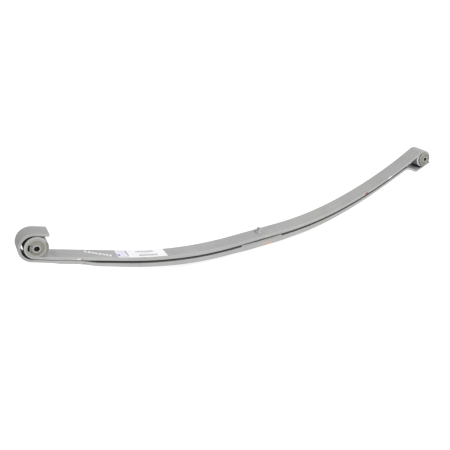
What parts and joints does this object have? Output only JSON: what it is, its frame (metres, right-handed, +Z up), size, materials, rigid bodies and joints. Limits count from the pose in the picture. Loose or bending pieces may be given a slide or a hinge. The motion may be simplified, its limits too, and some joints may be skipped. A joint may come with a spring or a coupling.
{
  "type": "leaf spring",
  "caption": "Parabolic leaf spring: an eyed main leaf on a hooked lower leaf, clamped by a centre bolt, with rubber bushes and tip pads.",
  "frame": {"origin": "on the centre bolt's axis, at the flat underside of the lower leaf, where the spring sits on the axle", "axes": "+X along the seat towards the rear eye, +Y across the leaves, +Z up from the axle to the main leaf"},
  "size_m": [1.7464, 0.092, 0.2969],
  "materials": {
    "leaf_paint": "satin grey paint with chips and dust",
    "liner_plastic": "matt black sheet",
    "bolt_steel": "satin grey paint over plated steel",
    "pad_plastic": "matt black moulding",
    "shell_steel": "drawn steel tube with paint mist",
    "bush_rubber": "moulded rubber dusted with grey overspray",
    "sleeve_steel": "turned steel tube",
    "label_film": "bare white paper label"
  },
  "bodies": {
    "spring_centre": {"main_leaf": "leaf_paint", "second_leaf": "leaf_paint", "spacer_plate": "leaf_paint", "seat_liner": "liner_plastic", "centre_bolt": "bolt_steel", "centre_nut": "bolt_steel", "front_tip_pad": "pad_plastic", "rear_tip_pad": "pad_plastic", "label": "label_film"},
    "front_eye": {"front_bush_shell": "shell_steel", "front_bush_rubber": "bush_rubber"},
    "front_inner": {"front_bush_sleeve": "sleeve_steel"},
    "rear_eye": {"rear_bush_shell": "shell_steel", "rear_bush_rubber": "bush_rubber"},
    "rear_inner": {"rear_bush_sleeve": "sleeve_steel"}
  },
  "joints": [
    {"name": "front_arm_flex", "type": "hinge", "parent": "spring_centre", "child": "front_eye", "pos_m": [-0.279, 0, 0.046], "axis": [0, 1, 0], "range_deg": [-15, 3], "stiffness_Nm_per_rad": 9400, "deforming": ["main_leaf", "second_leaf", "front_tip_pad", "label"]},
    {"name": "front_bush_twist", "type": "hinge", "parent": "front_eye", "child": "front_inner", "pos_m": [-0.83906, 0, 0.23322], "axis": [0, 1, 0], "range_deg": [-18, 18], "stiffness_Nm_per_rad": 80},
    {"name": "rear_arm_flex", "type": "hinge", "parent": "spring_centre", "child": "rear_eye", "pos_m": [0.265, 0, 0.047], "axis": [0, 1, 0], "range_deg": [-3, 15], "stiffness_Nm_per_rad": 9400, "deforming": ["main_leaf", "second_leaf", "rear_tip_pad"]},
    {"name": "rear_bush_twist", "type": "hinge", "parent": "rear_eye", "child": "rear_inner", "pos_m": [0.80426, 0, 0.19475], "axis": [0, 1, 0], "range_deg": [-18, 18], "stiffness_Nm_per_rad": 80}
  ]
}
